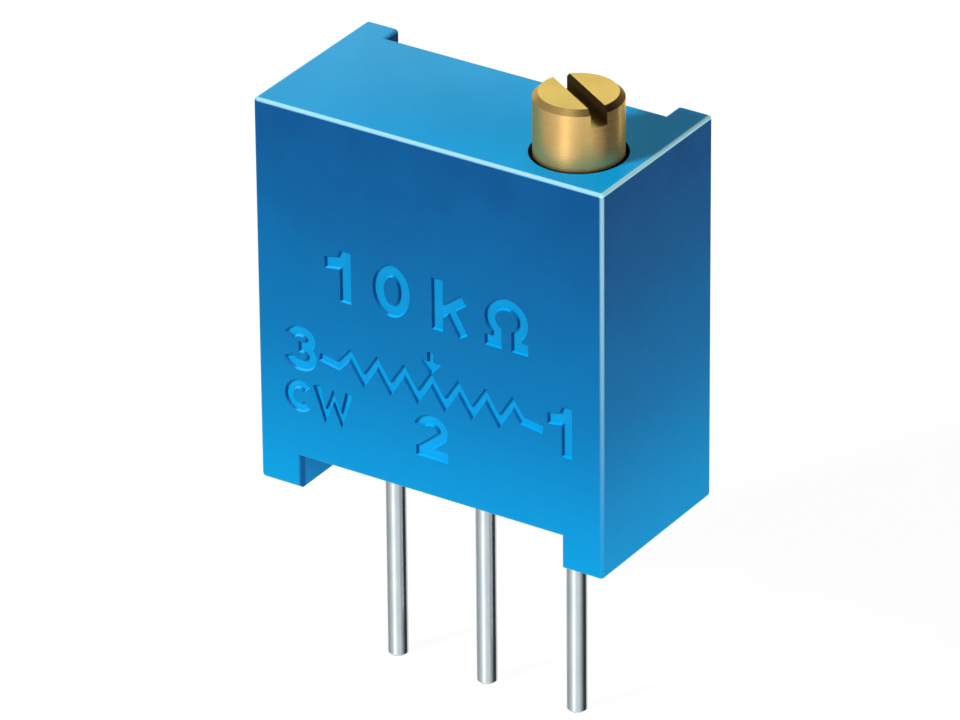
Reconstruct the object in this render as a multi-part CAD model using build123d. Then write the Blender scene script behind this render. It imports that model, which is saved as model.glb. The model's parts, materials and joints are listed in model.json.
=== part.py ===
from build123d import *
import math
import os

# Trimmer potentiometer: a multi-turn, screw-adjusted preset resistor for a printed circuit board.
# Frame: the origin is on the board plane under the feet, on the middle terminal. +X runs along
# the row of terminals, +Y to the sealed back, +Z up to the screw head. Sizes are in millimetres.

# Housing, outside
body_width = 9.53
body_depth = 4.83
body_height = 10.03
foot_width = 1.14
foot_height = 0.85
ear_width = 0.92
ear_depth = 0.58
edge_radius = 0.11

# Housing, inside
floor_top = 1.45
ceiling = 9.28
chamber_front = -1.815
seat = 0.26
post_radius = 0.55
post_end = -0.78

# Adjusting screw
screw_x = 3.13
screw_y = -0.80
head_radius = 1.07
head_above_body = 1.53
head_chamfer = 0.13
head_bottom = 8.92
slot_width = 0.42
slot_depth = 0.44
slot_angle = -32.0
groove_bottom = 9.14
groove_top = 9.62
groove_radius = 0.76
neck_radius = 0.62
collar_top = 8.46
collar_bottom = 8.20
thread_top = 7.35
thread_bottom = 3.75
thread_runout = 0.35
shoulder = 3.00
journal_radius = 0.44
journal_bottom = 2.40
journal_chamfer = 0.12
running_gap = 0.073
head_gap = 0.10

# Worm drive: one turn of the screw moves the rotor by one tooth
module = 0.19
rotor_teeth = 30
pressure_angle = 20.0
worm_pitch_radius = 0.75
tooth_thickness = 0.255
addendum = 0.19
dedendum = 0.23

# Rotor
rotor_z = 5.55
rotor_front = -1.765
tooth_width = 1.07
shoulder_radius = 2.42
rim_inner_radius = 2.05
hub_radius = 0.95
web_front = -0.95
post_gap = 0.05
peg_radius = 0.16
peg_head_radius = 0.25
peg_head_height = 0.07
peg_x = 0.33
peg_drop = 1.26

# Wiper spring
spring_thickness = 0.08
spring_width = 1.10
spring_bottom = -1.60
spring_top = 0.90
spring_corner = 0.18
contact_gap = 0.012
knee_radius = 0.20
knee_lift = 0.017
finger_count = 4
finger_width = 0.14
finger_pitch = 0.22
tongue_width = 0.30
window_width = 0.50
window_top = 0.62
window_bottom = -0.95

# Substrate and the tracks printed on it
substrate_width = 7.60
substrate_top = 9.20
substrate_thickness = 0.635
print_thickness = 0.03
track_inner_radius = 1.94
track_outer_radius = 2.62
track_half_angle = 140.0
end_pad_angle = 18.0
collector_radius = 0.85
trace_width = 0.34
pad_half_width = 0.43
pad_bottom = 1.50
pad_top = 2.08

# Terminals
pin_pitch = 2.54
pin_radius = 0.255
pin_below_board = 5.32
pin_tip_chamfer = 0.05
round_top = 0.84
tab_half_width = 0.27
tab_front = -0.15
tab_top = 2.00
solder_spread = 0.13
solder_depth = 0.26

# Slots of the terminals and the potting behind them
pin_slot_half_width = 0.33
tab_channel_half_width = 0.45
tab_channel_front = -0.25
tab_channel_top = 2.12
sealant_back = 1.78

# Cross pin that keeps the screw in
cross_pin_radius = 0.14
cross_pin_z = 8.66
cross_pin_front = -1.60
cross_pin_back = 0.20
cross_hole_gap = 0.012

# Worked out from the sizes above
half_width = body_width / 2
half_depth = body_depth / 2
back_face = half_depth - ear_depth
pocket_half_width = half_width - ear_width
head_top = body_height + head_above_body
screw_bore_radius = head_radius + head_gap
worm_tip_radius = worm_pitch_radius + addendum
worm_root_radius = worm_pitch_radius - dedendum
worm_channel_radius = worm_tip_radius + running_gap
channel_bottom = shoulder - running_gap
worm_pitch = math.pi * module
gear_radius = module * rotor_teeth / 2
gear_tip_radius = gear_radius + addendum
gear_root_radius = gear_radius - dedendum
chamber_radius = gear_tip_radius + 0.10
rotor_x = screw_x - worm_pitch_radius - gear_radius
rotor_back = screw_y + tooth_width / 2
teeth_front = screw_y - tooth_width / 2
tooth_twist = math.degrees(tooth_width * worm_pitch / (2 * math.pi * worm_pitch_radius) / gear_radius)
substrate_back = seat + substrate_thickness
print_front = seat - print_thickness
ledge = print_front - 0.005
contact_face = print_front - contact_gap
track_middle_radius = (track_inner_radius + track_outer_radius) / 2
cross_pin_x = screw_x - neck_radius - cross_pin_radius - 0.02
pin_places = {"1": pin_pitch, "2": 0.0, "3": -pin_pitch}
far = 20.0


def block(x, y, z):
    """A box from three (low, high) pairs."""
    size = (x[1] - x[0], y[1] - y[0], z[1] - z[0])
    return Pos(x[0], y[0], z[0]) * Box(*size, align=(Align.MIN, Align.MIN, Align.MIN))


def upright(radius, x, y, bottom, top):
    """A cylinder along Z."""
    rod = Cylinder(radius, top - bottom, align=(Align.CENTER, Align.CENTER, Align.MIN))
    return Pos(x, y, bottom) * rod


def rotor_plane(y):
    """Seen from the front, centred on the rotor: local x is +X and local y is +Z."""
    return Plane(origin=(rotor_x, y, rotor_z), x_dir=(1, 0, 0), z_dir=(0, -1, 0))


def toward_back(sketch, front, back):
    """A solid from a sketch drawn on the rotor plane, between two depths."""
    return extrude(rotor_plane(front) * sketch, amount=front - back)


def rotor_disc(radius, front, back):
    return toward_back(Circle(radius), front, back)


def on_outside(edge):
    """True for an edge on the sides, the front, the top or the backs of the ears."""
    middle = edge.center()
    on_side = abs(abs(middle.X) - half_width) < 0.001
    on_face = abs(abs(middle.Y) - half_depth) < 0.001
    return on_side or on_face or abs(middle.Z - body_height) < 0.001


def rounded_shell():
    """The outside of the housing: two feet below, two ears at the back, outer edges eased."""
    foot_inside = half_width - foot_width
    outline = Polyline(
        (-half_width, 0),
        (-foot_inside, 0),
        (-foot_inside, foot_height),
        (foot_inside, foot_height),
        (foot_inside, 0),
        (half_width, 0),
        (half_width, body_height),
        (-half_width, body_height),
        close=True,
    )
    front = Plane(origin=(0, -half_depth, 0), x_dir=(1, 0, 0), z_dir=(0, -1, 0))
    solid = extrude(front * make_face(outline), amount=-body_depth)
    solid -= block((-pocket_half_width, pocket_half_width), (back_face, far), (-far, far))
    return fillet(solid.edges().filter_by(on_outside), edge_radius)


def screw_bore():
    """The stepped bore from the top: head, worm and tip bearing, open behind for the moulding core."""
    bore = upright(screw_bore_radius, screw_x, screw_y, head_bottom - 0.02, far)
    bore += upright(worm_channel_radius, screw_x, screw_y, channel_bottom, head_bottom)
    bearing_radius = journal_radius + 0.04
    bore += upright(bearing_radius, screw_x, screw_y, journal_bottom - running_gap, shoulder)
    channel_x = (screw_x - worm_channel_radius, pocket_half_width)
    bore += block(channel_x, (screw_y, seat), (channel_bottom, collar_top))
    return bore


def pin_slot(x):
    """The slot a terminal drops into from the back, and the channel of its flat tab."""
    slot_x = (x - pin_slot_half_width, x + pin_slot_half_width)
    slot = block(slot_x, (-pin_slot_half_width, far), (0, floor_top))
    tab_x = (x - tab_channel_half_width, x + tab_channel_half_width)
    slot += block(tab_x, (tab_channel_front, seat), (floor_top, tab_channel_top))
    return slot


def make_housing():
    """One moulding: rotor chamber with its post, screw bore, substrate pocket and pin slots."""
    solid = rounded_shell()
    pocket_x = (-pocket_half_width, pocket_half_width)
    solid -= block(pocket_x, (ledge, far), (floor_top, ceiling))
    solid -= rotor_disc(chamber_radius, chamber_front, seat)
    solid += rotor_disc(post_radius, chamber_front - 0.2, post_end)
    solid -= screw_bore()
    for x in pin_places.values():
        solid -= pin_slot(x)
    hole = Cylinder(cross_pin_radius + cross_hole_gap, far, align=(Align.CENTER, Align.CENTER, Align.MIN))
    hole_front = cross_pin_front - 0.02
    solid -= Pos(cross_pin_x, hole_front, cross_pin_z) * Rot(-90, 0, 0) * hole
    return solid


def screw_blank():
    """The turned blank: head, seal groove, neck, collar, thread core and tip journal."""
    profile = Polyline(
        (0, journal_bottom),
        (journal_radius - journal_chamfer, journal_bottom),
        (journal_radius, journal_bottom + journal_chamfer),
        (journal_radius, shoulder),
        (worm_root_radius, shoulder),
        (worm_root_radius, collar_bottom),
        (worm_tip_radius, collar_bottom),
        (worm_tip_radius, collar_top),
        (neck_radius, collar_top),
        (neck_radius, head_bottom),
        (head_radius, head_bottom),
        (head_radius, groove_bottom),
        (groove_radius, groove_bottom),
        (groove_radius, groove_top),
        (head_radius, groove_top),
        (head_radius, head_top - head_chamfer),
        (head_radius - head_chamfer, head_top),
        (0, head_top),
        close=True,
    )
    return revolve(make_face(Plane.XZ * profile), Axis.Z)


def half_tooth(radius):
    """Half the axial thickness of the worm's tooth at a radius."""
    slope = math.tan(math.radians(pressure_angle))
    return tooth_thickness / 2 - (radius - worm_pitch_radius) * slope


def worm_thread():
    """A right-hand tooth swept along a helix, with a run-out at each end."""
    inner = worm_root_radius - 0.08
    outer = worm_tip_radius
    section = Polyline(
        (inner, -half_tooth(inner)),
        (outer, -half_tooth(outer)),
        (outer, half_tooth(outer)),
        (inner, half_tooth(inner)),
        close=True,
    )
    turns = 7
    start = rotor_z - turns / 2 * worm_pitch
    path = Helix(worm_pitch, worm_pitch * turns, worm_pitch_radius)
    tooth = sweep(make_face(Plane.XZ * section), path=path, is_frenet=True)
    envelope = Polyline(
        (0, thread_bottom),
        (worm_root_radius, thread_bottom),
        (outer + 0.01, thread_bottom + thread_runout),
        (outer + 0.01, thread_top - thread_runout),
        (worm_root_radius, thread_top),
        (0, thread_top),
        close=True,
    )
    limit = revolve(make_face(Plane.XZ * envelope), Axis.Z)
    return (Pos(0, 0, start) * tooth) & limit


def make_adjustment_screw():
    screw = screw_blank() + worm_thread()
    slot = Box(far, slot_width, slot_depth, align=(Align.CENTER, Align.CENTER, Align.MAX))
    screw -= Pos(0, 0, head_top) * Rot(0, 0, slot_angle) * slot
    return Pos(screw_x, screw_y, 0) * screw


def make_screw_seal_ring():
    """A rubber ring; its round section is drawn with eight sides to keep its mesh light."""
    section = (groove_top - groove_bottom) / 2 - 0.04
    profile = Pos(screw_bore_radius - section - 0.003, 0) * RegularPolygon(section, 8)
    ring = revolve(Plane.XZ * profile, Axis.Z)
    return Pos(screw_x, screw_y, (groove_top + groove_bottom) / 2) * ring


def make_screw_retaining_pin():
    """A plain pin pressed in from the back, past the side of the screw's neck."""
    length = cross_pin_back - cross_pin_front
    pin = Cylinder(cross_pin_radius, length, align=(Align.CENTER, Align.CENTER, Align.MIN))
    pin = chamfer(pin.edges().group_by(Axis.Z)[0], 0.03)
    return Pos(cross_pin_x, cross_pin_front, cross_pin_z) * Rot(-90, 0, 0) * pin


def involute(radius):
    """Angle between the start of an involute and where it meets a radius."""
    base = gear_radius * math.cos(math.radians(pressure_angle))
    if radius <= base:
        return 0.0
    angle = math.acos(base / radius)
    return math.tan(angle) - angle


def flank(radius):
    """Half the angle of a rotor tooth at a radius."""
    at_pitch = tooth_thickness / 2 / gear_radius
    return at_pitch + involute(gear_radius) - involute(radius)


def rotor_section():
    """Outline of the toothed rim, with the middle of a gap on the local x axis."""
    radii = [gear_root_radius, gear_radius - 0.06, gear_radius + 0.08, gear_tip_radius]
    points = []
    for tooth in range(rotor_teeth):
        middle = (tooth + 0.5) * 2 * math.pi / rotor_teeth
        for radius in radii:
            angle = middle - flank(radius)
            points.append((radius * math.cos(angle), radius * math.sin(angle)))
        for radius in reversed(radii):
            angle = middle + flank(radius)
            points.append((radius * math.cos(angle), radius * math.sin(angle)))
    return make_face(Polyline(*points, close=True))


def rotor_teeth_band():
    """The teeth are twisted to the lead of the worm; they are straight ahead at the screw's axis."""
    plane = Plane(origin=(rotor_x, teeth_front, rotor_z), x_dir=(1, 0, 0), z_dir=(0, 1, 0))
    section = plane * Rot(0, 0, -tooth_twist / 2) * rotor_section()
    along = plane.z_dir * tooth_width
    return Solid.extrude_linear_with_rotation(section.face(), plane.origin, along, tooth_twist)


def make_rotor_gear():
    """Toothed disc with a hub on the housing's post, a hollow front and two staked pegs."""
    gear = rotor_teeth_band() + rotor_disc(shoulder_radius, rotor_front, teeth_front + 0.1)
    hollow = Circle(rim_inner_radius) - Circle(hub_radius)
    gear -= toward_back(hollow, rotor_front - 1, web_front)
    gear -= rotor_disc(post_radius + post_gap, rotor_front - 1, post_end + post_gap)
    stake_top = rotor_back + spring_thickness
    for side in (-peg_x, peg_x):
        place = Pos(side, -peg_drop)
        gear += toward_back(place * Circle(peg_radius), rotor_back - 0.05, stake_top + 0.02)
        gear += toward_back(place * Circle(peg_head_radius), stake_top, stake_top + peg_head_height)
    return gear


def spring_arm(start, bend, knee, x, width):
    """A bent strip: it leaves the flat plate, touches at its knee and turns back at the end."""
    middle = rotor_back + spring_thickness / 2
    touch = contact_face - spring_thickness / 2
    corners = [(start, middle), (bend, middle), (knee, touch + knee_lift), (knee + 0.24, touch - 0.09)]
    path = FilletPolyline(*corners, radius=knee_radius)
    side_view = Plane(origin=(rotor_x + x, 0, rotor_z), x_dir=(0, 0, 1), z_dir=(-1, 0, 0))
    return extrude(side_view * trace(path, spring_thickness), amount=width / 2, both=True)


def make_wiper_spring():
    """One stamped spring: four fingers for the track and a tongue for the centre contact."""
    middle_height = (spring_top + spring_bottom) / 2
    plate = Pos(0, middle_height) * Rectangle(spring_width, spring_top - spring_bottom)
    plate = fillet(plate.vertices(), spring_corner)
    window_middle = (window_top + window_bottom) / 2
    plate -= Pos(0, window_middle) * Rectangle(window_width, window_top - window_bottom)
    for side in (-peg_x, peg_x):
        plate -= Pos(side, -peg_drop) * Circle(peg_radius + 0.01)
    spring = toward_back(plate, rotor_back, rotor_back + spring_thickness)
    for index in range(finger_count):
        x = (index - (finger_count - 1) / 2) * finger_pitch
        spring += spring_arm(spring_top - 0.1, spring_top + 0.15, track_middle_radius, x, finger_width)
    spring += spring_arm(window_bottom - 0.08, window_bottom + 0.12, 0.0, 0, tongue_width)
    return spring


def make_ceramic_substrate():
    half = substrate_width / 2
    plate = block((-half, half), (seat, substrate_back), (floor_top, substrate_top))
    return chamfer(plate.edges().filter_by(Axis.Y), 0.08)


def ring_part(half_angle_from, half_angle_to):
    """A sector of the track ring on one side; angles are measured from the top."""
    ring = Circle(track_outer_radius) - Circle(track_inner_radius)
    start = math.radians(90 - half_angle_from)
    end = math.radians(90 - half_angle_to)
    reach = 2 * track_outer_radius
    wedge = Polyline(
        (0, 0),
        (reach * math.cos(start), reach * math.sin(start)),
        (reach * math.cos(end), reach * math.sin(end)),
        close=True,
    )
    return ring & make_face(wedge)


def make_resistive_track():
    """The horseshoe the wiper runs on, open at the bottom."""
    ring = Circle(track_outer_radius) - Circle(track_inner_radius)
    half = math.radians(180 - track_half_angle)
    reach = 2 * track_outer_radius
    corner = (reach * math.sin(half), -reach * math.cos(half))
    gap = make_face(Polyline((0, 0), corner, (-corner[0], corner[1]), close=True))
    return toward_back(ring - gap, print_front, seat)


def pad_on_substrate(x):
    """The soldering pad of a terminal, drawn on the rotor plane."""
    middle = (pad_top + pad_bottom) / 2 - rotor_z
    return Pos(x - rotor_x, middle) * Rectangle(2 * pad_half_width, pad_top - pad_bottom)


def make_end_trace(x, side):
    """End pad of the track, a conductor and the soldering pad, printed in one."""
    end = track_half_angle + end_pad_angle
    sketch = ring_part(side * track_half_angle, side * end)
    middle = math.radians(track_half_angle + end_pad_angle * 0.55)
    start = (side * track_middle_radius * math.sin(middle), track_middle_radius * math.cos(middle))
    target = (x - rotor_x, (pad_top + pad_bottom) / 2 - rotor_z)
    bend = (start[0] + side * 0.25, target[1] + 0.75)
    route = Polyline(start, bend, (target[0], target[1] + 0.35), target)
    sketch += trace(route, trace_width)
    sketch += pad_on_substrate(x)
    return toward_back(sketch, print_front, seat)


def make_centre_trace():
    """The collector disc on the rotor's axis and its conductor to the middle terminal."""
    x = pin_places["2"]
    target = (x - rotor_x, (pad_top + pad_bottom) / 2 - rotor_z)
    route = Polyline((0, 0), (0, target[1] + 0.9), (target[0], target[1] + 0.45), target)
    sketch = Circle(collector_radius) + trace(route, trace_width)
    sketch += pad_on_substrate(x)
    return toward_back(sketch, print_front, seat)


def make_terminal_pin(x):
    """Round wire below, coined flat above so that it lies on its pad."""
    pin = upright(pin_radius, x, 0, -pin_below_board, round_top)
    pin = chamfer(pin.edges().group_by(Axis.Z)[0], pin_tip_chamfer, pin_tip_chamfer * 0.7)
    tab_x = (x - tab_half_width, x + tab_half_width)
    tab = block(tab_x, (tab_front, print_front), (round_top, tab_top))
    tab = chamfer(tab.edges().group_by(Axis.Z)[-1], 0.05)
    return pin + tab


def make_solder_joint(x):
    """A fillet of solder that rises from the pad and wets both sides and the end of the tab."""
    wide = 2 * (tab_half_width + solder_spread)
    narrow = 2 * (tab_half_width + 0.03)
    middle = (pad_top + pad_bottom) / 2
    low = Plane(origin=(x, print_front, middle), x_dir=(1, 0, 0), z_dir=(0, -1, 0))
    high = low.offset(solder_depth)
    base = low * Rectangle(wide, pad_top - pad_bottom)
    top = high * (Pos(0, -0.02) * Rectangle(narrow, pad_top - pad_bottom - 0.05))
    joint = loft([base, top])
    tab_x = (x - tab_half_width, x + tab_half_width)
    return joint - block(tab_x, (tab_front, print_front), (0, tab_top))


def make_rear_sealant():
    """Potting behind the substrate; it also fills the slots round the pins."""
    pocket_x = (-pocket_half_width, pocket_half_width)
    potting = block(pocket_x, (substrate_back, sealant_back), (floor_top, ceiling))
    for x in pin_places.values():
        slot_x = (x - pin_slot_half_width, x + pin_slot_half_width)
        potting += block(slot_x, (-pin_slot_half_width, sealant_back), (foot_height, floor_top))
    for x in pin_places.values():
        potting -= make_terminal_pin(x)
    return potting


def save(name, solid):
    solid.label = name
    export_step(solid, "parts/" + name + ".step")


os.makedirs("parts", exist_ok=True)
save("housing", make_housing())
save("adjustment_screw", make_adjustment_screw())
save("screw_seal_ring", make_screw_seal_ring())
save("screw_retaining_pin", make_screw_retaining_pin())
save("rotor_gear", make_rotor_gear())
save("wiper_spring", make_wiper_spring())
save("ceramic_substrate", make_ceramic_substrate())
save("resistive_track", make_resistive_track())
save("conductor_trace_1", make_end_trace(pin_places["1"], 1))
save("conductor_trace_2", make_centre_trace())
save("conductor_trace_3", make_end_trace(pin_places["3"], -1))
for number, place in pin_places.items():
    save("terminal_pin_" + number, make_terminal_pin(place))
    save("solder_joint_" + number, make_solder_joint(place))
save("rear_sealant", make_rear_sealant())
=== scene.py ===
import json
import math
import bpy
import bmesh
from mathutils import Matrix, Vector

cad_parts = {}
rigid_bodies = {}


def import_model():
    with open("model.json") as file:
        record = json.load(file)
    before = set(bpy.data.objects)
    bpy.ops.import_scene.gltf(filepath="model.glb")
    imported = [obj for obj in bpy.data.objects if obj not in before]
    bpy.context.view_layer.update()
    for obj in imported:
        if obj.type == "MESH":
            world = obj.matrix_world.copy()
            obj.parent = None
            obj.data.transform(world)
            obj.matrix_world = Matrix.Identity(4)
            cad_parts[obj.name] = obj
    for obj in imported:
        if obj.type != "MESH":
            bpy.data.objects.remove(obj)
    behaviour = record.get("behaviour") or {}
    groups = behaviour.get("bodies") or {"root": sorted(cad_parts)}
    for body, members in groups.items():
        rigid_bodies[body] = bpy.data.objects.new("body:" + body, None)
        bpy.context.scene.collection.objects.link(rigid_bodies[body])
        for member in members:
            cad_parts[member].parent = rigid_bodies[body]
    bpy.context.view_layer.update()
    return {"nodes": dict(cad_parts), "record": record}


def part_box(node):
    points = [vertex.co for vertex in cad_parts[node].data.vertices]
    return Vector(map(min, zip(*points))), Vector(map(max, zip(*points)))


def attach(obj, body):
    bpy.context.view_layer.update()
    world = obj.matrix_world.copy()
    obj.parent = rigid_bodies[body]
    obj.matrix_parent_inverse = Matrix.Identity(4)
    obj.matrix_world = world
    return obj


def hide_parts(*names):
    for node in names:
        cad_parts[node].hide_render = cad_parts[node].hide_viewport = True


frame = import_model()

# Lengths in this script are millimetres of the real object until they are handed to Blender
MM = 0.001

# The photograph's frame in pixels, and the view it was drawn from
IMAGE_WIDTH = 960
PIXELS_PER_MM = 42.81
VIEW_AZIMUTH = 32.89
VIEW_ELEVATION = 28.20
VIEW_ROLL = -0.52
VIEW_DISTANCE = 195.0
VIEW_CENTRE = (0.0, 0.0, 5.015)
VIEW_SHIFT_RIGHT = -0.094
VIEW_SHIFT_UP = -1.450
SENSOR_WIDTH = 36.0


def corners_mm(node):
    """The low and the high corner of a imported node's box."""
    low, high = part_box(node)
    return low / MM, high / MM


housing_low, housing_high = corners_mm("housing")
screw_low, screw_high = corners_mm("adjustment_screw")
pins_low, pins_high = corners_mm("terminal_pin_2")

FRONT = housing_low.y
TOP = housing_high.z
FLOOR_LEVEL = pins_low.z
SCREW_X = (screw_low.x + screw_high.x) / 2
SCREW_Y = (screw_low.y + screw_high.y) / 2
SLOT_TURN = -32

# Moulded legend: its depth, how much its walls lean in on the way down, how far its cutters
# stand proud, the longest mitre in line widths, and the step of its arcs in degrees
LEGEND_DEPTH = 0.075
LEGEND_DRAFT = 0.03
CUTTER_PROUD = 0.02
MITRE_LIMIT = 1.9
ARC_STEP = 12.0

# Mesh of the moulded housing: corners closer than this are one, edges flatter than this go,
# and edges sharper than this stay sharp
SAME_CORNER = 0.0002
FLAT_ANGLE = 0.5
SHARP_ANGLE = 35

# Colours, as linear red, green and blue
# painted shade and light: the same blue is given darker towards the top of the sides, lighter towards the
# feet, and paler on the top, where the light falls
SIDE_LOW = (0.0, 0.166, 0.405)
SIDE_HIGH = (0.001, 0.064, 0.208)
SIDE_FOOT = (0.0, 0.30, 0.63)
# painted light: the top is painted paler than the sides, lightest towards the back-left like a sheen
TOP_LEFT = (0.064, 0.54, 0.96)
TOP_RIGHT = (0.0, 0.445, 0.92)
BLUE_CLOUD = (0.0, 0.19, 0.50)
# painted highlight on the rounded outer edges that face up and right
HIGHLIGHT_ABOVE = (0.40, 0.73, 1.0)
HIGHLIGHT_RIGHT = (0.52, 0.92, 1.0)
# painted light: a paler blue for the floor of the sunk legend
LEGEND_FLOOR_LIT = (0.0, 0.46, 0.92)
# painted shade on the legend's walls that face right
LEGEND_WALL_SHADE = (0.008, 0.055, 0.22)
BRASS_TOP = (0.88, 0.66, 0.19)
BRASS_TOP_STAIN = (0.74, 0.52, 0.15)
# painted shade: the sides are a darker, browner copy of the brass than the top
BRASS_SIDE = (0.86, 0.56, 0.20)
BRASS_SIDE_STAIN = (0.68, 0.41, 0.15)
BRASS_EDGE_TINT = (0.85, 0.66, 0.36)
# painted shade on the brass down in the bore
BORE_SHADE = (0.03, 0.02, 0.012)
# painted shade on the walls of the slot
SLOT_SHADE = (0.060, 0.038, 0.016)
# painted shade on the chamfer round the head, darkest on the right
CHAMFER_SHADE = (0.060, 0.034, 0.016)
TIN = (0.72, 0.80, 0.85)
TIN_PATCH = (0.79, 0.86, 0.90)
FLOOR_GREY = (0.62, 0.62, 0.62)
WHITE = (1.0, 1.0, 1.0)

# Finishes of the pieces inside and behind: slot, material name, its two colours, grain in
# millimetres, roughness, relief in millimetres and metallic
SPECKLED = [
    ("sealant_resin", "potting_resin", (0.010, 0.075, 0.20), (0.006, 0.050, 0.15), 0.45, 0.28, 0.012, 0.0),
    ("seal_rubber", "seal_rubber", (0.030, 0.030, 0.032), (0.018, 0.018, 0.020), 0.06, 0.55, 0.004, 0.0),
    ("pin_steel", "pin_steel", (0.62, 0.62, 0.60), (0.50, 0.50, 0.49), 0.05, 0.30, 0.001, 1.0),
    ("rotor_plastic", "rotor_plastic", (0.060, 0.060, 0.068), (0.040, 0.040, 0.046), 0.08, 0.45, 0.003, 0.0),
    ("spring_metal", "spring_metal", (0.86, 0.66, 0.42), (0.76, 0.56, 0.34), 0.06, 0.26, 0.001, 1.0),
    ("substrate_ceramic", "substrate_ceramic", (0.80, 0.79, 0.76), (0.72, 0.71, 0.68), 0.04, 0.60, 0.003, 0.0),
    ("resistive_ink", "resistive_ink", (0.030, 0.030, 0.034), (0.015, 0.015, 0.018), 0.05, 0.42, 0.003, 0.0),
    ("conductor_ink", "conductor_ink", (0.72, 0.72, 0.70), (0.58, 0.58, 0.57), 0.04, 0.40, 0.002, 1.0),
    ("solder_metal", "solder_metal", (0.70, 0.71, 0.72), (0.58, 0.59, 0.61), 0.15, 0.32, 0.004, 1.0),
]
ROUGHNESS_SPREAD = 0.07

# The floor's size, its own white for the camera, and the share of that against the lit floor
# with the shadow
FLOOR_RADIUS = 400
FLOOR_GLOW = 1.20
FLOOR_GLOW_SHARE = 0.78

# Level of the even light from all round
WORLD_LEVEL = 0.09

# What gloss meets around the object: azimuth in degrees and level, where 1 is the white background,
# less is a dark flag beside the table and more is a lamp
STUDIO_ROUND = [
    (-180, 0.95), (-120, 0.95), (-100, 0.40), (-84, 0.32), (-66, 0.42), (-48, 0.52), (-32, 0.66),
    (-18, 0.90), (-6, 1.50), (4, 1.35), (14, 0.98), (26, 0.80), (44, 0.66), (51, 0.76), (58, 0.72),
    (66, 0.52), (80, 0.36), (96, 0.18), (106, 0.03), (136, 0.03), (150, 0.45), (165, 0.80), (180, 0.95),
]

# Lamps: name, azimuth, elevation, distance, width and height, and level
LAMPS = [
    ("key", -27, 30, 150, (30, 30), 1.04),
    ("front_strip", 6, -27, 18, (26, 2), 0.12),
    ("right_fill", 80, 10, 120, (60, 60), 0.46),
    ("right_strip", 78, -24, 20, (16, 2), 0.20),
    ("back_fill", 196, 12, 120, (60, 60), 0.30),
]


# Outlines of the legend

def arc(centre, radius_x, radius_z, start, end):
    """Points on an ellipse, by angles in degrees from the right, end before start for clockwise."""
    steps = max(2, round(abs(end - start) / ARC_STEP))
    points = []
    for i in range(steps + 1):
        angle = math.radians(start + (end - start) * i / steps)
        across, up = radius_x * math.cos(angle), radius_z * math.sin(angle)
        points.append(Vector((centre[0] + across, centre[1] + up)))
    return points


def line(*points):
    return [Vector(p) for p in points]


def offset_side(points, reach, closed):
    """The points moved sideways by reach, with mitred corners."""
    moved = []
    count = len(points)
    for i, point in enumerate(points):
        before = points[(i - 1) % count] if closed or i > 0 else None
        after = points[(i + 1) % count] if closed or i < count - 1 else None
        way_in = (point - before).normalized() if before is not None else None
        way_out = (after - point).normalized() if after is not None else None
        if way_in is None:
            way_in = way_out
        if way_out is None:
            way_out = way_in
        along = (way_in + way_out).normalized()
        across = Vector((-along.y, along.x))
        stretch = 1.0 / max(across.dot(Vector((-way_in.y, way_in.x))), 1.0 / MITRE_LIMIT)
        moved.append(point + across * reach * stretch)
    return moved


def lengthened(points, extra):
    """The line with both ends moved outwards."""
    start = points[0] + (points[0] - points[1]).normalized() * extra
    end = points[-1] + (points[-1] - points[-2]).normalized() * extra
    return [start] + points[1:-1] + [end]


def stroke(points, weight):
    """A mark: a line drawn with square ends."""
    return ("stroke", points, weight)


def loop(points, weight):
    """A mark: a closed line."""
    return ("loop", points, weight)


def area(points):
    """A mark: everything inside an outline that runs clockwise."""
    return ("area", points, 0.0)


def outlines(mark, grow):
    """The mark's outline, or its outer and inner outline, made wider on every side by grow."""
    kind, points, weight = mark
    reach = weight / 2 + grow
    if kind == "stroke":
        points = lengthened(points, grow)
        return [offset_side(points, reach, False) + offset_side(points, -reach, False)[::-1]]
    if kind == "loop":
        return [offset_side(points, reach, True), offset_side(points, -reach, True)]
    return [offset_side(points, reach, True)]


def ring_of_corners(bm, outline, place, depth):
    """Corners along an outline at a depth, with the mark's own middle moved to its place."""
    return [bm.verts.new(Vector((p.x + place[0], depth, p.y + place[1])) * MM) for p in outline]


def add_band(bm, first, second):
    """Faces between two rings of as many corners."""
    for i in range(len(first)):
        j = (i + 1) % len(first)
        bm.faces.new((first[i], first[j], second[j], second[i]))


def add_cutter(bm, mark, place):
    """A closed solid that narrows from in front of the face to the bottom of the mark."""
    lean = LEGEND_DRAFT / LEGEND_DEPTH
    wide = outlines(mark, LEGEND_DRAFT / 2 + lean * CUTTER_PROUD)
    narrow = outlines(mark, -LEGEND_DRAFT / 2)
    walls = []
    for front_outline, back_outline in zip(wide, narrow):
        fronts = ring_of_corners(bm, front_outline, place, FRONT - CUTTER_PROUD)
        backs = ring_of_corners(bm, back_outline, place, FRONT + LEGEND_DEPTH)
        walls.append((fronts, backs))
        add_band(bm, fronts, backs)
    for side in (0, 1):
        if len(walls) == 1:
            bm.faces.new(walls[0][side])
        else:
            add_band(bm, walls[0][side], walls[1][side])


# Signs of the legend. Each is drawn about its own middle, in x and z, from its width, height
# and line weight; the shares of these are the proportions of the lettering.

def digit_one(width, height, weight):
    """The stem and its flag, which is thick and rises a little towards the stem."""
    left, right, top = -width / 2, width / 2, height / 2
    stem = right - weight
    flag = [(stem, top - 0.35 * height), (left, top - 0.40 * height), (left, top - 0.19 * height)]
    shoulder = [(stem - 0.10 * width, top - 0.13 * height), (stem, top)]
    return [area(line((stem, -top), *flag, *shoulder, (right, top), (right, -top)))]


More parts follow.
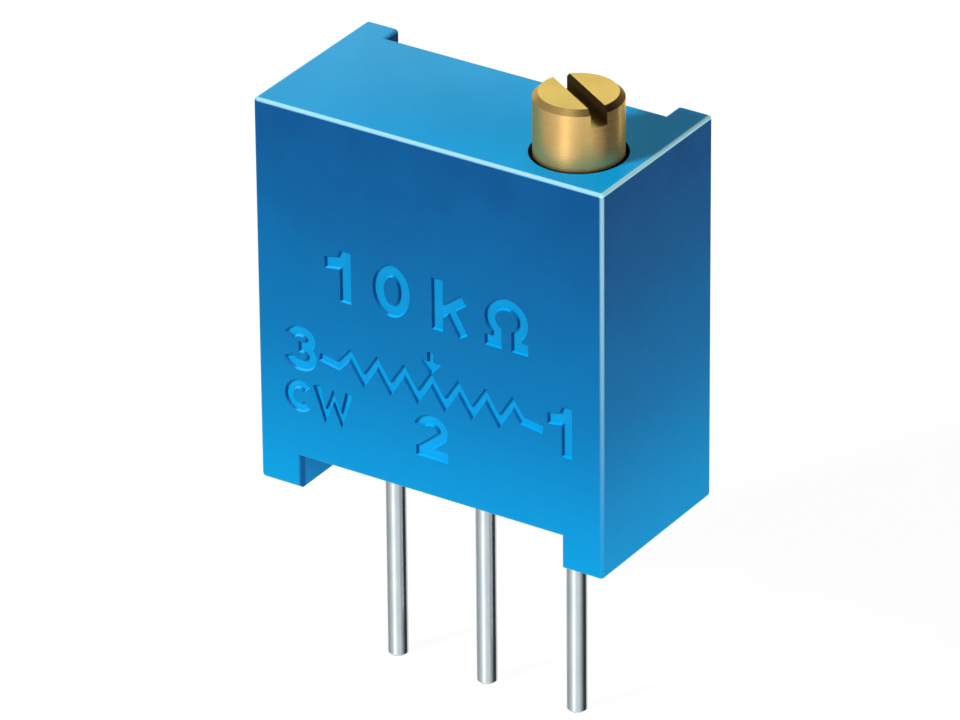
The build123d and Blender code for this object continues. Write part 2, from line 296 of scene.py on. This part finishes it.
def digit_two(width, height, weight):
    reach = (width - weight) / 2
    top = (height - weight) / 2
    bowl = 0.29 * (height - weight)
    curve = arc((0, top - bowl), reach, bowl, 172, -28)
    base = line((-reach - 0.31 * weight, -top), (width / 2, -top))
    return [stroke(curve + line((-reach, -top)), weight), stroke(base, weight)]


def digit_three(width, height, weight):
    reach = (width - weight) / 2
    top = (height - weight) / 2
    upper = 0.23 * (height - weight)
    lower = 0.27 * (height - weight)
    return [
        stroke(arc((0, top - upper), 0.9 * reach, upper, 168, -95), weight),
        stroke(arc((0, lower - top), reach, lower, 95, -168), weight),
    ]


def digit_zero(width, height, weight):
    return [loop(arc((0, 0), (width - weight) / 2, (height - weight) / 2, 0, 360)[:-1], weight)]


def letter_c(width, height, weight):
    bow = arc((0.03 * width, 0), (width - weight) / 2, (height - weight) / 2, 42, 318)
    return [stroke(bow, weight)]


def letter_w(width, height, weight):
    reach = (width - weight) / 2
    top = height / 2
    low = -height / 2 + 0.6 * weight
    zigzag = line((-reach, top), (-reach / 2, low), (0, top - weight), (reach / 2, low), (reach, top))
    return [stroke(zigzag, weight)]


def letter_k(width, height, weight):
    stem = -(width - weight) / 2
    reach = width / 2 - 0.5 * weight
    root, tip = line((stem, -0.18 * height), (reach, 0.22 * height))
    fork = root.lerp(tip, 0.46)
    return [
        stroke(line((stem, -height / 2), (stem, height / 2)), weight),
        stroke([root, tip], 0.9 * weight),
        stroke([fork, Vector((reach, -height / 2))], 0.9 * weight),
    ]


def ohm_sign(width, height, weight):
    top = (height - weight) / 2
    drop = 0.40 * (height - weight)
    bow = arc((0, top - drop), (width - weight) / 2, drop, -52, 232)
    right = line((width / 2, -top), (bow[0].x, -top))
    left = line((bow[-1].x, -top), (-width / 2, -top))
    return [stroke(right + bow + left, weight)]


def resistor_sign(left, right, lead, weight):
    """The zigzag between two leads, as one line. It is drawn in its place on the front."""
    first_peak, pitch, peaks = -2.19, 0.75, 7
    high, low = 3.98, 3.40
    points = [(left, lead + 0.08), (first_peak - 0.33, lead - 0.02)]
    for i in range(peaks):
        points.append((first_peak + pitch * i, high))
        if i < peaks - 1:
            points.append((first_peak + pitch * (i + 0.5), low))
    points += [(first_peak + pitch * (peaks - 1) + 0.27, lead - 0.02), (right, lead - 0.10)]
    return [stroke(line(*points), weight)]


def wiper_arrow(width, height, weight):
    """An arrow that points down, with its tip at the middle."""
    half, barb = weight / 2, 0.55 * height
    right = [(half, height), (half, barb), (width / 2, barb)]
    left = [(-x, z) for x, z in reversed(right)]
    return [area(line(*right, (0, 0), *left))]


# What stands on the front: the marks of each sign and where its middle is, in x and z
LEGEND = [
    (digit_one(0.70, 1.30, 0.28), (-2.48, 5.99)),
    (digit_zero(1.00, 1.32, 0.28), (-1.00, 5.99)),
    (letter_k(0.98, 1.30, 0.28), (0.62, 5.99)),
    (ohm_sign(1.16, 1.30, 0.26), (2.16, 5.99)),
    (digit_three(0.90, 1.15, 0.25), (-3.58, 3.77)),
    (letter_c(0.77, 0.82, 0.20), (-3.66, 2.49)),
    (letter_w(1.08, 0.84, 0.18), (-2.68, 2.48)),
    (digit_two(0.90, 1.12, 0.25), (0.06, 2.44)),
    (digit_one(0.64, 1.27, 0.25), (3.60, 3.62)),
    (resistor_sign(-3.02, 3.13, 3.62, 0.18), (0, 0)),
    (wiper_arrow(0.54, 0.56, 0.14), (0.06, 4.11)),
]


# Mesh work

def cleaned_copy(node, name):
    """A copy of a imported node's mesh with its split corners joined."""
    mesh = frame["nodes"][node].data.copy()
    mesh.name = name
    bm = bmesh.new()
    bm.from_mesh(mesh)
    bmesh.ops.remove_doubles(bm, verts=bm.verts, dist=SAME_CORNER * MM)
    bmesh.ops.dissolve_limit(bm, angle_limit=math.radians(FLAT_ANGLE), verts=bm.verts, edges=bm.edges)
    bm.to_mesh(mesh)
    bm.free()
    for attribute in [a for a in mesh.attributes if a.name == "custom_normal"]:
        mesh.attributes.remove(attribute)
    mesh.materials.clear()
    piece = bpy.data.objects.new(name, mesh)
    bpy.context.scene.collection.objects.link(piece)
    return piece


def legend_cutters():
    """One closed mesh for each mark, because the marks of one sign overlap."""
    cutters = bpy.data.collections.new("legend_cutters")
    for marks, middle in LEGEND:
        for mark in marks:
            bm = bmesh.new()
            add_cutter(bm, mark, middle)
            bmesh.ops.recalc_face_normals(bm, faces=bm.faces)
            mesh = bpy.data.meshes.new("legend_mark")
            bm.to_mesh(mesh)
            bm.free()
            cutters.objects.link(bpy.data.objects.new("legend_mark", mesh))
    return cutters


def take_modifiers(piece):
    """Applies the modifiers of a piece, so that its mesh is what shows."""
    graph = bpy.context.evaluated_depsgraph_get()
    made = bpy.data.meshes.new_from_object(piece.evaluated_get(graph))
    piece.modifiers.clear()
    piece.data = made


def round_normals(piece):
    """Smooth shading across the small radii, flat faces kept flat."""
    mesh = piece.data
    bm = bmesh.new()
    bm.from_mesh(mesh)
    for face in bm.faces:
        face.smooth = True
    for edge in bm.edges:
        gentle = edge.calc_face_angle(0) < math.radians(SHARP_ANGLE)
        edge.smooth = len(edge.link_faces) == 2 and gentle
    bm.to_mesh(mesh)
    bm.free()
    weighted = piece.modifiers.new("flat faces lead", "WEIGHTED_NORMAL")
    weighted.keep_sharp = True
    weighted.weight = 100
    take_modifiers(piece)


def moulded_housing():
    """The housing of the frame with the legend sunk into its front."""
    shell = cleaned_copy("housing", "moulded_housing")
    cutters = legend_cutters()
    bpy.context.scene.collection.children.link(cutters)
    cut = shell.modifiers.new("legend", "BOOLEAN")
    cut.operation = "DIFFERENCE"
    cut.operand_type = "COLLECTION"
    cut.collection = cutters
    cut.solver = "EXACT"
    cut.use_self = True
    take_modifiers(shell)
    for cutter in list(cutters.objects):
        bpy.data.objects.remove(cutter)
    bpy.data.collections.remove(cutters)
    round_normals(shell)
    return shell


# Materials

class Graph:
    """The node tree of a material or a world, with a short call for each kind of node used."""

    def __init__(self, owner):
        owner.use_nodes = True
        self.nodes = owner.node_tree.nodes
        self.links = owner.node_tree.links

    def feed(self, target, value):
        """Links an output to a socket, or sets a plain value or an opaque colour on it."""
        if isinstance(value, bpy.types.NodeSocket):
            self.links.new(value, target)
        elif isinstance(value, tuple):
            target.default_value = (*value, 1.0)
        else:
            target.default_value = value

    def add(self, kind, inputs, **settings):
        """A new node with its settings made and its inputs fed."""
        node = self.nodes.new("ShaderNode" + kind)
        for name, value in settings.items():
            setattr(node, name, value)
        for socket, value in inputs.items():
            self.feed(node.inputs[socket], value)
        return node

    def math(self, operation, first, second=0.0, clamp=False):
        node = self.add("Math", {0: first, 1: second}, operation=operation, use_clamp=clamp)
        return node.outputs[0]

    def size(self, value):
        """The value without its sign."""
        return self.math("ABSOLUTE", value)

    def times(self, first, *others):
        product = first
        for other in others:
            product = self.math("MULTIPLY", product, other)
        return product

    def axes(self, vector):
        return self.add("SeparateXYZ", {0: vector}).outputs

    def ramp(self, value, low, high, to_low=0.0, to_high=1.0):
        """Smooth step of a value between two limits."""
        limits = {"From Min": low, "From Max": high, "To Min": to_low, "To Max": to_high}
        node = self.add("MapRange", {"Value": value, **limits}, interpolation_type="SMOOTHSTEP")
        return node.outputs["Result"]

    def fall(self, value, low, high):
        """Smooth step down, from 1 to 0."""
        return self.ramp(value, low, high, 1.0, 0.0)

    def ramp_mm(self, length, low, high):
        """Smooth step of a length between two limits in millimetres."""
        return self.ramp(length, low * MM, high * MM)

    def fall_mm(self, length, low, high):
        """Smooth step down, from 1 to 0, between two limits in millimetres."""
        return self.fall(length, low * MM, high * MM)

    def mix(self, share, first, second):
        colours = {"Factor": share, "A": first, "B": second}
        return self.add("Mix", colours, data_type="RGBA").outputs["Result"]


class Surface(Graph):
    """A principled material whose patterns are fixed to the object."""

    def __init__(self, name):
        self.material = bpy.data.materials.new(name)
        super().__init__(self.material)
        self.shader = self.nodes["Principled BSDF"]
        self.place = self.add("TexCoord", {})

    def set(self, values):
        """Sets or links sockets of the shader by their names."""
        for name, value in values.items():
            self.feed(self.shader.inputs[name], value)

    def noise(self, grain, detail, stretch=(1, 1, 1)):
        """Noise whose grain is about this many millimetres, fixed to the object."""
        scale = [share / (grain * MM) for share in stretch]
        scaled = self.add("Mapping", {"Vector": self.place.outputs["Object"], "Scale": scale})
        settings = {"Vector": scaled.outputs[0], "Scale": 1.0, "Detail": detail}
        return self.add("TexNoise", settings).outputs["Fac"]

    def bump(self, height, depth):
        """Relief of this many millimetres from a height between 0 and 1."""
        node = self.add("Bump", {"Height": height, "Distance": depth * MM})
        self.set({"Normal": node.outputs[0]})


def legend_panel(s, x, y, z):
    """1 on the front inside its rim and down in the legend, 0 everywhere else."""
    under_rim = s.fall_mm(z, TOP - 0.6, TOP - 0.4)
    between_rims = s.fall_mm(s.size(x), 4.3, 4.5)
    at_front = s.fall_mm(y, FRONT + 2 * LEGEND_DEPTH, FRONT + 3 * LEGEND_DEPTH)
    return s.times(under_rim, between_rims, at_front)


def blue_with_painted_light(s, x, y, z, nz):
    """Painted light and shade on one blue: sides that get deeper from the feet to the top, a top painted paler
    and lightest towards the back-left like a sheen, and faint clouds.
    """
    # painted shade: the sides darker towards the top and lighter towards the feet
    sides = s.mix(s.ramp_mm(z, 1.5, TOP + 1.0), SIDE_LOW, SIDE_HIGH)
    sides = s.mix(s.fall_mm(z, -1.5, 4.5), sides, SIDE_FOOT)
    # painted light: a paler top, lightest towards the back-left like a sheen
    top = s.mix(s.ramp_mm(s.math("SUBTRACT", x, y), -7.0, 4.0), TOP_LEFT, TOP_RIGHT)
    upright = s.fall(s.size(nz), 0.2, 0.7)
    cloud = s.ramp(s.noise(1.6, 2.0), 0.3, 0.7)
    return s.mix(s.times(cloud, 0.10), s.mix(upright, top, sides), BLUE_CLOUD)


def share_of_painted_highlight(s, x, y, z, nx, ny, nz, panel):
    """How strongly the painted highlight shows: on the rounded outer edges that face right or up."""
    # a face's normal has one large part; on a rounded edge none is near 1
    largest = s.math("MAXIMUM", s.math("MAXIMUM", s.size(nx), s.size(ny)), s.size(nz))
    rounded = s.times(s.fall(largest, 0.93, 0.996), s.math("SUBTRACT", 1.0, panel))
    # the painted highlight runs round the outside and not along the recess between the ears
    outside = s.math("MAXIMUM", s.ramp_mm(s.size(x), 4.3, 4.5), s.fall_mm(y, FRONT + 0.2, FRONT + 0.4))
    facing = s.math("MULTIPLY", s.math("ADD", nx, nz), 1.3, clamp=True)
    fade = s.times(s.ramp_mm(z, -1.0, TOP), s.ramp(nz, 0.1, 0.4, 0.62, 1.0))
    return s.times(rounded, outside, facing, fade)


def housing_plastic():
    """Satin blue moulding with painted light and shade: deeper towards the top, a paler top, pale painted
    highlights on its rounded edges, and in the legend a floor painted lighter and walls painted dark.
    """
    s = Surface("housing_plastic")
    x, y, z = s.axes(s.place.outputs["Object"])
    nx, ny, nz = s.axes(s.place.outputs["Normal"])
    panel = legend_panel(s, x, y, z)
    body = blue_with_painted_light(s, x, y, z, nz)
    # painted highlight: the rounded outer edges are given a pale blue, strongest where they face right or up
    # and near the top
    rim = s.mix(s.ramp(nx, 0.1, 0.5), HIGHLIGHT_ABOVE, HIGHLIGHT_RIGHT)
    body = s.mix(share_of_painted_highlight(s, x, y, z, nx, ny, nz, panel), body, rim)
    # painted light: the floor of the sunk legend is given a paler blue than the face
    below = s.ramp_mm(y, FRONT + 0.4 * LEGEND_DEPTH, FRONT + 0.8 * LEGEND_DEPTH)
    ground = s.times(below, panel, s.fall(ny, -0.98, -0.9))
    body = s.mix(s.times(ground, 0.40), body, LEGEND_FLOOR_LIT)
    # painted shade: the legend's walls that face right are given a dark blue
    shaded_right_wall = s.times(panel, s.ramp(ny, -0.95, -0.8), s.ramp(nx, 0.1, 0.4))
    body = s.mix(s.times(shaded_right_wall, 0.7), body, LEGEND_WALL_SHADE)
    grain = s.noise(0.055, 4.0)
    s.set({"Base Color": body, "Roughness": s.ramp(grain, 0.25, 0.75, 0.38, 0.50)})
    s.set({"IOR": 1.5, "Specular IOR Level": 0.10})
    s.bump(grain, 0.004)
    return s.material


def across_slot(s, x_part, y_part):
    """A vector's part at right angles to the slot of the screw."""
    turn = math.radians(SLOT_TURN)
    return s.math("ADD", s.times(x_part, math.sin(-turn)), s.times(y_part, math.cos(turn)))


def turned_brass():
    """Brass with the rings a lathe leaves, a darker copy on its sides, painted shade in the bore and on the
    walls of the slot, and a brown painted shade on the chamfer round the head.
    """
    s = Surface("turned_brass")
    x, y, z = s.axes(s.place.outputs["Object"])
    nx, ny, nz = s.axes(s.place.outputs["Normal"])
    dx = s.math("SUBTRACT", x, SCREW_X * MM)
    dy = s.math("SUBTRACT", y, SCREW_Y * MM)
    # rings run with the radius on the flats and with the height on the sides
    reach = s.math("SQRT", s.math("ADD", s.times(dx, dx), s.times(dy, dy)))
    flat = s.ramp(s.size(nz), 0.6, 0.9)
    way = s.math("ADD", s.times(reach, flat), s.times(z, s.math("SUBTRACT", 1.0, flat)))
    ring_inputs = {"W": s.math("DIVIDE", way, 0.02 * MM), "Scale": 1.0, "Detail": 2.0}
    rings = s.add("TexNoise", ring_inputs, noise_dimensions="1D").outputs["Fac"]
    stain = s.times(s.ramp(s.noise(0.5, 4.0), 0.35, 0.75), 0.3)
    top = s.mix(stain, BRASS_TOP, BRASS_TOP_STAIN)
    side = s.mix(stain, BRASS_SIDE, BRASS_SIDE_STAIN)
    # painted shade: the sides take the darker copy of the brass, the top the paler one
    body = s.mix(flat, side, top)
    # painted shade: the brass below the top of the housing, in the bore, is given nearly black
    in_bore = s.ramp(z, (TOP - 0.05) * MM, (TOP + 0.04) * MM, 0.9, 0.0)
    body = s.mix(in_bore, body, BORE_SHADE)
    # side faces near the slot's middle plane are its walls
    near_slot = s.fall_mm(s.size(across_slot(s, dx, dy)), 0.24, 0.27)
    slot_wall = s.times(near_slot, s.ramp(s.size(across_slot(s, nx, ny)), 0.8, 0.95))
    # painted shade: the slot's walls are given nearly black
    body = s.mix(s.times(slot_wall, 0.96), body, SLOT_SHADE)
    # the chamfer round the head gets a brown painted shade, darkest on the right
    chamfer = s.times(s.ramp(nz, 0.35, 0.6), s.fall(nz, 0.85, 0.95))
    to_right = s.math("ADD", s.times(nx, 0.95), s.times(ny, 0.45))
    body = s.mix(s.times(chamfer, s.ramp(to_right, -0.3, 0.45, 0.35, 0.97)), body, CHAMFER_SHADE)
    rough = s.math("ADD", s.ramp(rings, 0.3, 0.7, 0.27, 0.36), s.times(slot_wall, 0.4))
    around = s.add("Tangent", {}, direction_type="RADIAL", axis="Z")
    s.set({"Base Color": body, "Metallic": 0.85, "Roughness": rough, "Specular Tint": BRASS_EDGE_TINT})
    s.set({"Anisotropic": 0.8, "Anisotropic Rotation": 0.25, "Tangent": around.outputs[0]})
    s.bump(rings, 0.0002)
    return s.material


def tinned_wire():
    """Drawn copper wire with a dull tin coat: streaks along it and soft patches."""
    s = Surface("tinned_wire")
    streak = s.noise(0.05, 3.0, (1, 1, 0.04))
    patch = s.noise(0.35, 4.0, (1, 1, 0.5))
    s.set({"Base Color": s.mix(s.ramp(patch, 0.3, 0.7), TIN, TIN_PATCH), "Metallic": 1.0})
    s.set({"Roughness": s.ramp(streak, 0.3, 0.7, 0.16, 0.26)})
    s.bump(streak, 0.0004)
    return s.material


def speckled(name, light, dark, grain, roughness, relief, metallic):
    """A finish of two near colours with a matching relief."""
    s = Surface(name)
    spots = s.noise(grain, 5.0)
    smooth, coarse = roughness - ROUGHNESS_SPREAD, roughness + ROUGHNESS_SPREAD
    s.set({"Base Color": s.mix(s.ramp(spots, 0.3, 0.7), light, dark), "Metallic": metallic})
    s.set({"Roughness": s.ramp(spots, 0.25, 0.75, smooth, coarse)})
    s.bump(spots, relief)
    return s.material


def dress_cad_nodes(finishes):
    """Gives every node of the frame the finish of its own slot."""
    slots = {part["node"]: part["material_slot"] for part in frame["record"]["subparts"]}
    for name, node in frame["nodes"].items():
        node.data.materials.clear()
        node.data.materials.append(finishes[slots[name]])


# Studio

def direction(azimuth, elevation):
    """The way from the object to a place seen at these angles in degrees; azimuth 0 is in front."""
    a, e = math.radians(azimuth), math.radians(elevation)
    return Vector((math.sin(a) * math.cos(e), -math.cos(a) * math.cos(e), math.sin(e)))


def place_camera():
    """The camera that the photograph was drawn from, as near as one box can tell."""
    azimuth, roll = math.radians(VIEW_AZIMUTH), math.radians(VIEW_ROLL)
    back = direction(VIEW_AZIMUTH, VIEW_ELEVATION)
    level = Vector((math.cos(azimuth), math.sin(azimuth), 0))
    upward = back.cross(level)
    right = level * math.cos(roll) + upward * math.sin(roll)
    up = upward * math.cos(roll) - level * math.sin(roll)
    target = Vector(VIEW_CENTRE) + right * VIEW_SHIFT_RIGHT + up * VIEW_SHIFT_UP
    data = bpy.data.cameras.new("camera")
    data.sensor_width = SENSOR_WIDTH
    data.lens = PIXELS_PER_MM * VIEW_DISTANCE / IMAGE_WIDTH * SENSOR_WIDTH
    data.clip_start = 10 * MM
    data.clip_end = 10
    camera = bpy.data.objects.new("camera", data)
    pose = Matrix((right, up, back)).transposed().to_4x4()
    pose.translation = (target + back * VIEW_DISTANCE) * MM
    camera.matrix_world = pose
    bpy.context.scene.collection.objects.link(camera)
    bpy.context.scene.camera = camera


def soft_light(name, azimuth, elevation, distance, size, level):
    """A rectangular lamp aimed at the housing. Level 1 shows a white card square to it as white."""
    towards = direction(azimuth, elevation)
    data = bpy.data.lights.new(name, "AREA")
    data.shape = "RECTANGLE"
    data.size, data.size_y = size[0] * MM, size[1] * MM
    data.energy = level * (math.pi * distance * MM) ** 2
    lamp = bpy.data.objects.new(name, data)
    lamp.location = (Vector(VIEW_CENTRE) + towards * distance) * MM
    lamp.rotation_euler = towards.to_track_quat("Z", "Y").to_euler()
    lamp.visible_camera = False
    lamp.visible_glossy = False
    bpy.context.scene.collection.objects.link(lamp)


def floor_white():
    """White to the camera with a faint shadow, and not there at all from below."""
    material = bpy.data.materials.new("floor_white")
    g = Graph(material)
    card = g.nodes["Principled BSDF"]
    g.feed(card.inputs["Base Color"], FLOOR_GREY)
    g.feed(card.inputs["Roughness"], 0.9)
    g.feed(card.inputs["Specular IOR Level"], 0.0)
    glow = g.add("Emission", {"Strength": FLOOR_GLOW})
    seen = g.add("LightPath", {}).outputs["Is Camera Ray"]
    share = g.times(seen, FLOOR_GLOW_SHARE)
    above = g.add("MixShader", {0: share, 1: card.outputs[0], 2: glow.outputs[0]})
    # from below the floor is clear, so that the underside can be looked at
    below = g.add("NewGeometry", {}).outputs["Backfacing"]
    clear = g.add("BsdfTransparent", {})
    shown = g.add("MixShader", {0: below, 1: above.outputs[0], 2: clear.outputs[0]})
    g.feed(g.nodes["Material Output"].inputs["Surface"], shown.outputs[0])
    return material


def pale_floor():
    """A round floor under the tips of the pins."""
    bm = bmesh.new()
    bmesh.ops.create_circle(bm, cap_ends=True, segments=64, radius=FLOOR_RADIUS * MM)
    mesh = bpy.data.meshes.new("floor")
    bm.to_mesh(mesh)
    bm.free()
    mesh.materials.append(floor_white())
    floor = bpy.data.objects.new("floor", mesh)
    floor.location.z = FLOOR_LEVEL * MM
    floor.visible_glossy = False
    bpy.context.scene.collection.objects.link(floor)


def studio_world():
    """Even light. Camera and glass see white, and gloss meets the studio round the object."""
    world = bpy.data.worlds.new("studio")
    bpy.context.scene.world = world
    g = Graph(world)
    x, y, _ = g.axes(g.add("TexCoord", {}).outputs["Generated"])
    azimuth = g.math("ARCTAN2", x, g.times(y, -1.0))
    round_about = g.add("ValToRGB", {"Fac": g.math("ADD", g.math("DIVIDE", azimuth, 2 * math.pi), 0.5)})
    stops = round_about.color_ramp.elements
    stops.remove(stops[-1])
    stops[0].position = 0.0
    for degrees, _ in STUDIO_ROUND[1:]:
        stops.new(degrees / 360 + 0.5)
    # a stop holds no more than 1, so it has half the level and the level is doubled behind it
    for stop, (_, shine) in zip(stops, STUDIO_ROUND):
        stop.color = (shine / 2, shine / 2, shine / 2, 1.0)
    rays = g.add("LightPath", {}).outputs
    gloss = g.times(round_about.outputs["Color"], g.times(rays["Is Glossy Ray"], 2.0))
    plain = g.math("MAXIMUM", rays["Is Camera Ray"], rays["Is Transmission Ray"])
    even = g.nodes["Background"]
    g.feed(even.inputs["Color"], WHITE)
    g.feed(even.inputs["Strength"], WORLD_LEVEL)
    shown = g.add("Background", {"Color": WHITE, "Strength": g.math("ADD", gloss, plain)})
    seen = g.math("MAXIMUM", rays["Is Glossy Ray"], plain)
    pick = g.add("MixShader", {0: seen, 1: even.outputs[0], 2: shown.outputs[0]})
    g.feed(g.nodes["World Output"].inputs["Surface"], pick.outputs[0])


place_camera()
pale_floor()
studio_world()
for lamp in LAMPS:
    soft_light(*lamp)

finishes = {
    "screw_brass": turned_brass(),
    "terminal_metal": tinned_wire(),
    "housing_plastic": housing_plastic(),
}
for slot, *finish in SPECKLED:
    finishes[slot] = speckled(*finish)
dress_cad_nodes(finishes)

housing = moulded_housing()
housing.data.materials.append(finishes["housing_plastic"])
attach(housing, "body")
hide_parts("housing")

bpy.context.scene.view_settings.view_transform = "Standard"
